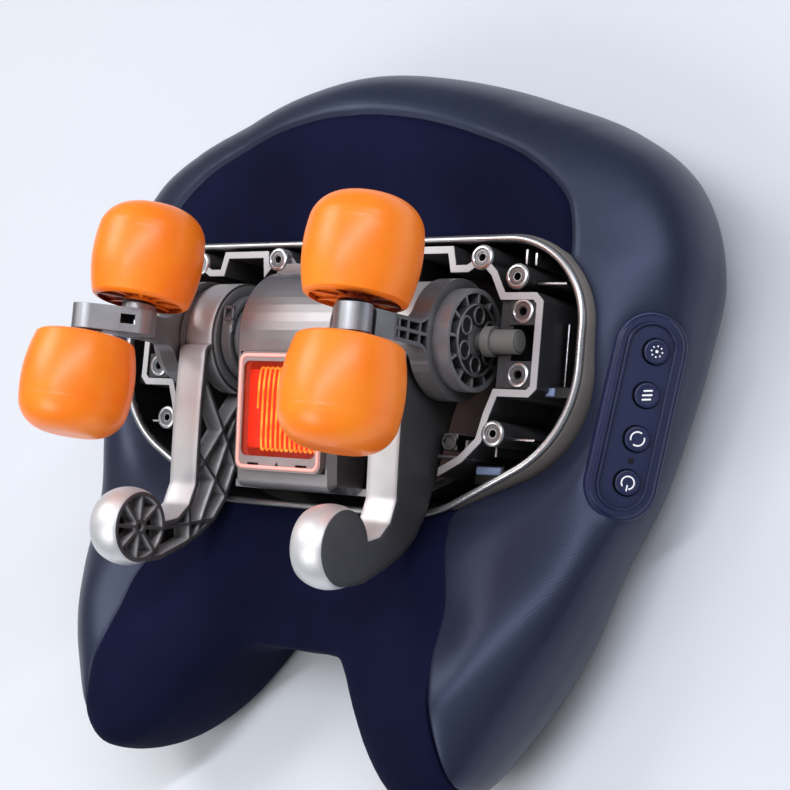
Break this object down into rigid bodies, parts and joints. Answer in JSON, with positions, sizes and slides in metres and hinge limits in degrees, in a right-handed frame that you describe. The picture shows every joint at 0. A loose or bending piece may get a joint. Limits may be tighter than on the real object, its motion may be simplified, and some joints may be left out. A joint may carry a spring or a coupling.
{
  "type": "electric massage pillow",
  "caption": "Two-lobed massage pillow shown open: motor, worm drive, eccentric hubs, kneading rollers, thumb arms, heater and a four-button panel.",
  "frame": {"origin": "bottom centre of the bounding box, on the back that lies on the table", "axes": "+X to the user's right, with the control panel; +Y to the crown, away from the lobes; +Z out of the front"},
  "size_m": [0.3129, 0.3192, 0.1635],
  "materials": {
    "foam": "open-cell foam",
    "side_fabric": "slate knit",
    "front_fabric": "navy knit",
    "tray_plastic": "fine texture",
    "rim_metal": "bright",
    "cast_metal": "die cast",
    "satin_metal": "satin",
    "dark_metal": "satin grey",
    "hub_plastic": "glass filled nylon",
    "steel": "ground",
    "brass": "machined",
    "gear_plastic": "acetal",
    "motor_steel": "plated",
    "heater_plastic": "heat resistant",
    "heater_lens": "tinted clear",
    "coil_wire": "resistance wire, glowing",
    "mica": "mica",
    "orange_rubber": "soft moulded",
    "panel_plastic": "fine texture",
    "lens": "clear",
    "board": "laminate",
    "battery_wrap": "shrink wrap"
  },
  "bodies": {
    "pillow": {"foam_core": "foam", "side_cover": "side_fabric", "crown_cover": "front_fabric", "lobe_cover": "front_fabric", "back_cover": "side_fabric", "tray": "tray_plastic", "rim_trim": "rim_metal", "gear_case": "cast_metal", "motor_cover": "satin_metal", "heater_frame": "heater_plastic", "heater_window": "heater_lens", "heating_coil": "coil_wire", "coil_card": "mica", "motor_can": "motor_steel", "worm_bush": "brass", "right_bearing": "steel", "left_bearing": "steel", "right_shaft_bush": "steel", "left_shaft_bush": "steel", "case_screws": "steel", "control_panel": "panel_plastic", "indicator_lens": "lens", "key_board": "board", "circuit_board": "board", "battery_pack": "battery_wrap"},
    "drive": {"drive_shaft": "steel", "worm_wheel": "gear_plastic", "right_hub": "hub_plastic", "left_hub": "hub_plastic"},
    "worm": {"worm": "brass"},
    "right_roller_arm": {"right_roller_arm": "dark_metal", "right_roller_carrier": "cast_metal", "right_upper_axle": "steel", "right_lower_axle": "steel"},
    "right_thumb_arm": {"right_thumb_arm": "satin_metal"},
    "right_upper_roller": {"right_upper_roller": "orange_rubber"},
    "right_lower_roller": {"right_lower_roller": "orange_rubber"},
    "left_roller_arm": {"left_roller_arm": "dark_metal", "left_roller_carrier": "cast_metal", "left_upper_axle": "steel", "left_lower_axle": "steel"},
    "left_thumb_arm": {"left_thumb_arm": "satin_metal"},
    "left_upper_roller": {"left_upper_roller": "orange_rubber"},
    "left_lower_roller": {"left_lower_roller": "orange_rubber"},
    "power_button": {"power_button": "panel_plastic"},
    "direction_button": {"direction_button": "panel_plastic"},
    "mode_button": {"mode_button": "panel_plastic"},
    "heat_button": {"heat_button": "panel_plastic"}
  },
  "joints": [
    {"name": "drive_spin", "type": "hinge", "parent": "pillow", "child": "drive", "pos_m": [0, 0.02269, 0.07269], "axis": [1, 0, 0], "continuous": true},
    {"name": "worm_spin", "type": "hinge", "parent": "pillow", "child": "worm", "pos_m": [0, 0.02854, 0.04736], "axis": [0, 0.9744, 0.225], "continuous": true},
    {"name": "right_roller_arm_turn", "type": "hinge", "parent": "drive", "child": "right_roller_arm", "pos_m": [0.0675, 0.02201, 0.07562], "axis": [1, 0, 0], "continuous": true},
    {"name": "right_thumb_arm_turn", "type": "hinge", "parent": "drive", "child": "right_thumb_arm", "pos_m": [0.0535, 0.02336, 0.06977], "axis": [1, 0, 0], "continuous": true},
    {"name": "right_upper_roller_spin", "type": "hinge", "parent": "right_roller_arm", "child": "right_upper_roller", "pos_m": [0.057, 0.01376, 0.12913], "axis": [0, 0.9936, 0.1132], "continuous": true},
    {"name": "right_lower_roller_spin", "type": "hinge", "parent": "right_roller_arm", "child": "right_lower_roller", "pos_m": [0.0695, -0.00007, 0.14236], "axis": [0, -0.9936, -0.1132], "continuous": true},
    {"name": "left_roller_arm_turn", "type": "hinge", "parent": "drive", "child": "left_roller_arm", "pos_m": [-0.0675, 0.02201, 0.07562], "axis": [1, 0, 0], "continuous": true},
    {"name": "left_thumb_arm_turn", "type": "hinge", "parent": "drive", "child": "left_thumb_arm", "pos_m": [-0.0535, 0.02336, 0.06977], "axis": [1, 0, 0], "continuous": true},
    {"name": "left_upper_roller_spin", "type": "hinge", "parent": "left_roller_arm", "child": "left_upper_roller", "pos_m": [-0.057, 0.01376, 0.12913], "axis": [0, 0.9936, 0.1132], "continuous": true},
    {"name": "left_lower_roller_spin", "type": "hinge", "parent": "left_roller_arm", "child": "left_lower_roller", "pos_m": [-0.0695, -0.00007, 0.14236], "axis": [0, -0.9936, -0.1132], "continuous": true},
    {"name": "power_press", "type": "slide", "parent": "pillow", "child": "power_button", "axis": [-0.6043, 0.1908, -0.7735], "range_m": [0, 0.001], "stiffness_N_per_m": 800, "springref_m": -0.0015},
    {"name": "direction_press", "type": "slide", "parent": "pillow", "child": "direction_button", "axis": [-0.6043, 0.1908, -0.7735], "range_m": [0, 0.001], "stiffness_N_per_m": 800, "springref_m": -0.0015},
    {"name": "mode_press", "type": "slide", "parent": "pillow", "child": "mode_button", "axis": [-0.6043, 0.1908, -0.7735], "range_m": [0, 0.001], "stiffness_N_per_m": 800, "springref_m": -0.0015},
    {"name": "heat_press", "type": "slide", "parent": "pillow", "child": "heat_button", "axis": [-0.6043, 0.1908, -0.7735], "range_m": [0, 0.001], "stiffness_N_per_m": 800, "springref_m": -0.0015}
  ],
  "couplings": [
    {"joint": "worm_spin", "follows": "drive_spin", "ratio": 40},
    {"joint": "right_roller_arm_turn", "follows": "drive_spin", "ratio": -1},
    {"joint": "right_thumb_arm_turn", "follows": "drive_spin", "ratio": -1},
    {"joint": "left_roller_arm_turn", "follows": "drive_spin", "ratio": -1},
    {"joint": "left_thumb_arm_turn", "follows": "drive_spin", "ratio": -1}
  ]
}
